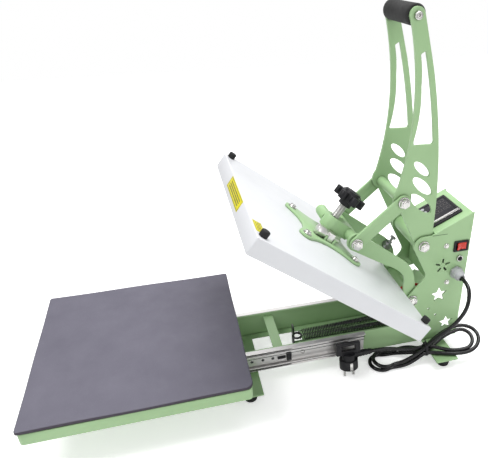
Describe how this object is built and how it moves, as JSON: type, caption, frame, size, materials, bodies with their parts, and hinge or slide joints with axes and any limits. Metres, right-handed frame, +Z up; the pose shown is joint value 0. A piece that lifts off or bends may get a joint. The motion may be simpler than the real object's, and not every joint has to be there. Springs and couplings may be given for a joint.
{
  "type": "heat press",
  "caption": "Clamshell heat press with a slide-out lower pad, toggle handle, hinged heating platen and pressure screw.",
  "frame": {"origin": "on the floor, under the middle of the machine's box without its lead; the machine is stored open, drawer out", "axes": "+X to the operator's right, +Y to the rear, +Z up"},
  "size_m": [0.384, 0.8836, 0.692],
  "materials": {
    "mint_paint": "satin",
    "black_plastic": "satin",
    "dark_glass": "gloss",
    "circuit_board": "satin",
    "relay_plastic": "satin",
    "red_plastic": "gloss",
    "grey_nylon": "satin",
    "chrome_steel": "polished",
    "zinc_steel": "brushed",
    "black_rubber": "matte",
    "spring_steel": "black oxide",
    "heat_lead": "matte",
    "white_paint": "satin",
    "cast_aluminium": "satin",
    "glass_wool": "fibrous",
    "silicone": "matte"
  },
  "bodies": {
    "base": {"side_plate_right": "mint_paint", "side_plate_left": "mint_paint", "base_bottom_plate": "mint_paint", "base_cross_strip": "mint_paint", "rear_cover": "mint_paint", "front_cover": "mint_paint", "control_panel": "mint_paint", "display_bezel": "black_plastic", "display_glass": "dark_glass", "controller_board": "circuit_board", "relay_block": "relay_plastic", "switch_frame": "black_plastic", "breaker_body": "black_plastic", "cable_gland": "grey_nylon", "housing_screws": "chrome_steel", "foot_plates": "mint_paint", "rubber_feet": "black_rubber", "pivot_axles": "chrome_steel", "spring_anchor": "spring_steel", "return_springs": "spring_steel", "heater_cable": "heat_lead", "slide_outer": "zinc_steel", "cord_tube": "black_rubber", "cord_hank": "black_rubber", "cord_tail": "black_rubber", "cable_tie": "black_plastic", "plug_body": "black_plastic", "plug_contacts": "chrome_steel", "breaker_nut": "chrome_steel"},
    "slide_middle": {"slide_middle": "zinc_steel"},
    "drawer": {"slide_inner": "zinc_steel", "drawer_brackets": "mint_paint", "lower_tray": "mint_paint", "silicone_pad": "silicone"},
    "handle": {"handle_right": "mint_paint", "handle_left": "mint_paint", "handle_cross_tubes": "mint_paint", "grip_tube": "zinc_steel", "foam_grip": "black_rubber", "handle_bolts": "chrome_steel"},
    "links": {"links": "mint_paint", "link_bolts": "chrome_steel"},
    "arm": {"arm_right": "mint_paint", "arm_left": "mint_paint", "arm_pivot_tube": "mint_paint", "pressure_yoke": "mint_paint", "stop_bolt": "zinc_steel"},
    "platen": {"platen_cover": "white_paint", "heat_platen": "cast_aluminium", "heating_element": "heat_lead", "insulation": "glass_wool", "platen_spider": "mint_paint", "guide_bolt": "zinc_steel", "thrust_block": "zinc_steel", "spider_screws": "chrome_steel", "corner_caps": "black_rubber"},
    "pressure_screw": {"threaded_rod": "zinc_steel", "star_knob": "black_plastic"},
    "rocker": {"switch_rocker": "red_plastic"},
    "reset_button": {"breaker_button": "black_plastic"}
  },
  "joints": [
    {"name": "drawer_slide", "type": "slide", "parent": "base", "child": "drawer", "axis": [0, 1, 0], "range_m": [0, 0.312]},
    {"name": "middle_slide", "type": "slide", "parent": "base", "child": "slide_middle", "axis": [0, 1, 0], "range_m": [0, 0.156]},
    {"name": "handle_swing", "type": "hinge", "parent": "base", "child": "handle", "pos_m": [0, 0.3215, 0.26], "axis": [1, 0, 0], "range_deg": [0, 70.5]},
    {"name": "arm_swing", "type": "hinge", "parent": "base", "child": "arm", "pos_m": [0, 0.3085, 0.135], "axis": [1, 0, 0], "range_deg": [0, 37.4], "deforming": ["return_springs", "heater_cable"]},
    {"name": "link_swing", "type": "hinge", "parent": "handle", "child": "links", "pos_m": [0, 0.2705, 0.36], "axis": [1, 0, 0], "range_deg": [-75.1, 0]},
    {"name": "platen_height", "type": "slide", "parent": "arm", "child": "platen", "axis": [0, 0.6074, 0.7944], "range_m": [-0.001, 0.004]},
    {"name": "pressure_screw_turn", "type": "hinge", "parent": "platen", "child": "pressure_screw", "pos_m": [0, 0.14787, 0.30405], "axis": [0, 0.6074, 0.7944], "range_deg": [-180, 720]},
    {"name": "power_switch", "type": "hinge", "parent": "base", "child": "rocker", "pos_m": [0.057, 0.404, 0.249], "axis": [0, 0, 1], "range_deg": [-16, 0]},
    {"name": "breaker_reset", "type": "slide", "parent": "base", "child": "reset_button", "axis": [-1, 0, 0], "range_m": [0, 0.0025], "stiffness_N_per_m": 400, "springref_m": -0.001}
  ],
  "couplings": [
    {"joint": "middle_slide", "follows": "drawer_slide", "ratio": 0.5},
    {"joint": "arm_swing", "follows": "handle_swing", "ratio": 0.5304},
    {"joint": "link_swing", "follows": "handle_swing", "ratio": -1.0638},
    {"joint": "pressure_screw_turn", "follows": "platen_height", "rad_per_m": 3141.6}
  ]
}
